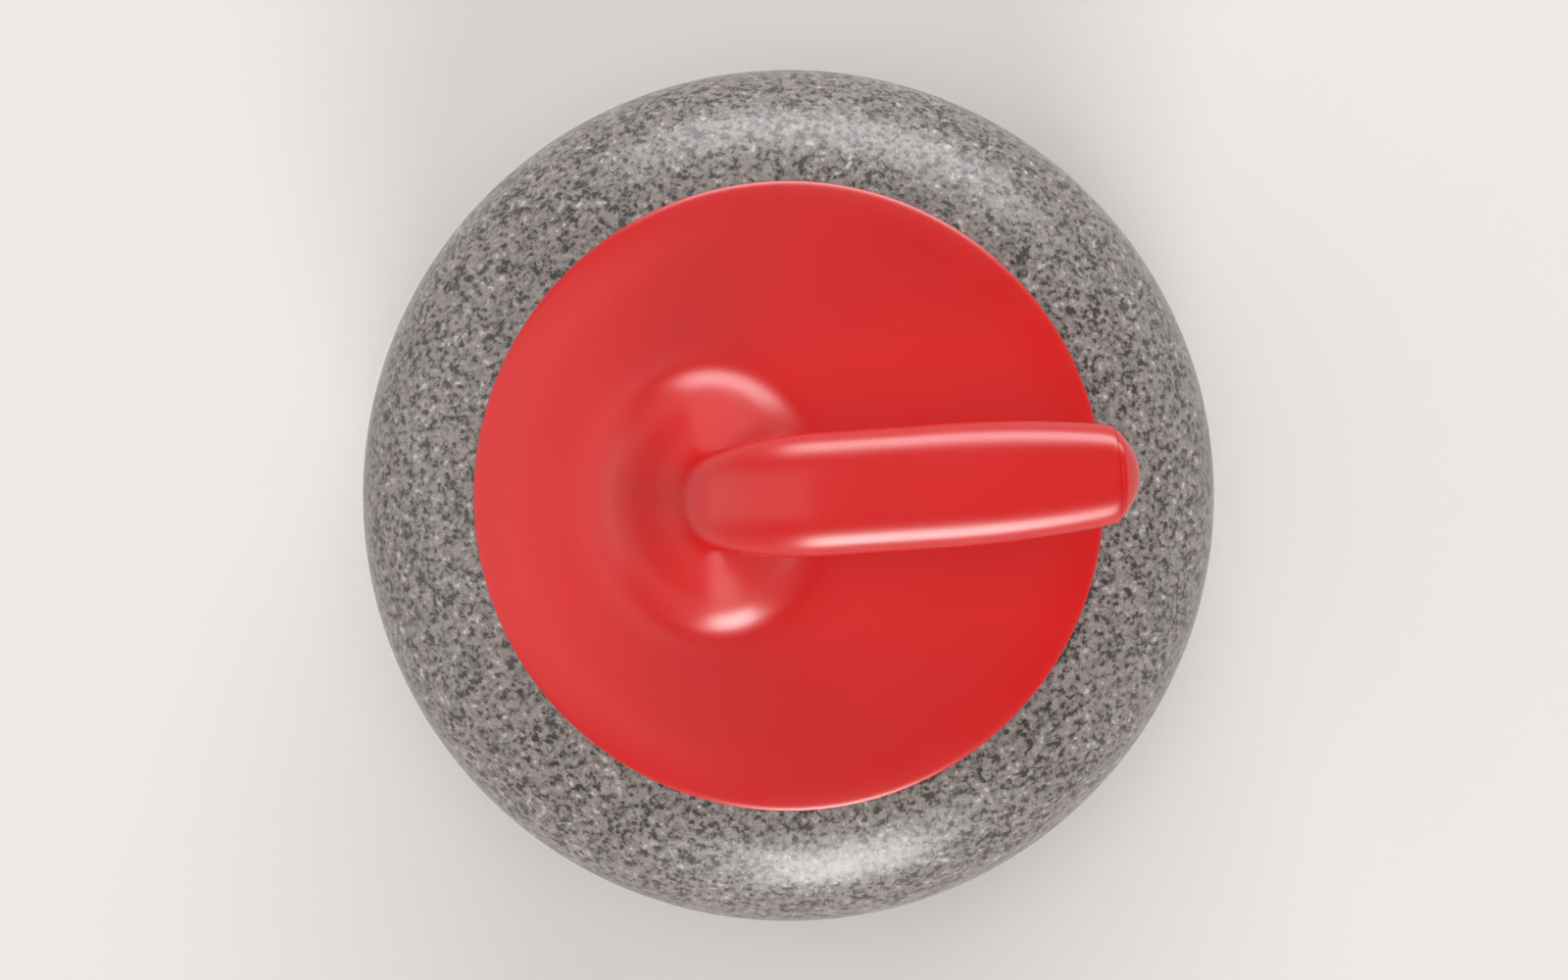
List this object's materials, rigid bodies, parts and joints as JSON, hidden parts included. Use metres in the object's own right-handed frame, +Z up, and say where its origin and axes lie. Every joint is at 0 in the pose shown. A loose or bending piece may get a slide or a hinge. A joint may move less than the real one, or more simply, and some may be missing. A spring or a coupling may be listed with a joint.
{
  "type": "curling stone",
  "caption": "Round granite curling stone with striking band, ring-shaped running band and red gooseneck handle on a wide disc, held by one through bolt.",
  "frame": {"origin": "centre of the stone's axis on the plane that the running band rests on", "axes": "+Z up along the stone's axis; +X along the grip, from the gooseneck to the grip's free end"},
  "size_m": [0.29, 0.29, 0.1805],
  "materials": {
    "granite": "satin",
    "hone_granite": "polished",
    "epoxy": "satin",
    "zinc_steel": "satin",
    "spring_steel": "satin",
    "plain_steel": "satin",
    "nylon": "satin",
    "red_plastic": "gloss",
    "brass": "satin",
    "gasket_rubber": "matte"
  },
  "bodies": {
    "stone": {"stone_body": "granite", "lower_running_insert": "hone_granite", "upper_running_insert": "hone_granite", "lower_bond_ring": "epoxy", "upper_bond_ring": "epoxy", "bolt_lock_washer": "spring_steel", "bolt_flat_washer": "zinc_steel", "bolt_cushion_washer": "nylon"},
    "bolt": {"through_bolt": "zinc_steel"},
    "handle": {"handle_shell": "red_plastic", "grip_end_plug": "red_plastic", "core_rod": "plain_steel", "core_rod_nut": "zinc_steel", "clamp_plate": "plain_steel", "clamp_screw_1": "zinc_steel", "clamp_screw_2": "zinc_steel", "clamp_screw_3": "zinc_steel", "clamp_screw_4": "zinc_steel", "threaded_hub": "brass", "seat_gasket": "gasket_rubber"}
  },
  "joints": [
    {"name": "bolt_turn", "type": "hinge", "parent": "stone", "child": "bolt", "pos_m": [0, 0, 0], "axis": [0, 0, -1], "range_deg": [0, 4320]},
    {"name": "handle_lift", "type": "slide", "parent": "stone", "child": "handle", "axis": [0, 0, 1], "range_m": [0, 0.018]}
  ],
  "couplings": [
    {"joint": "bolt_turn", "follows": "handle_lift", "rad_per_m": 4188.8}
  ]
}
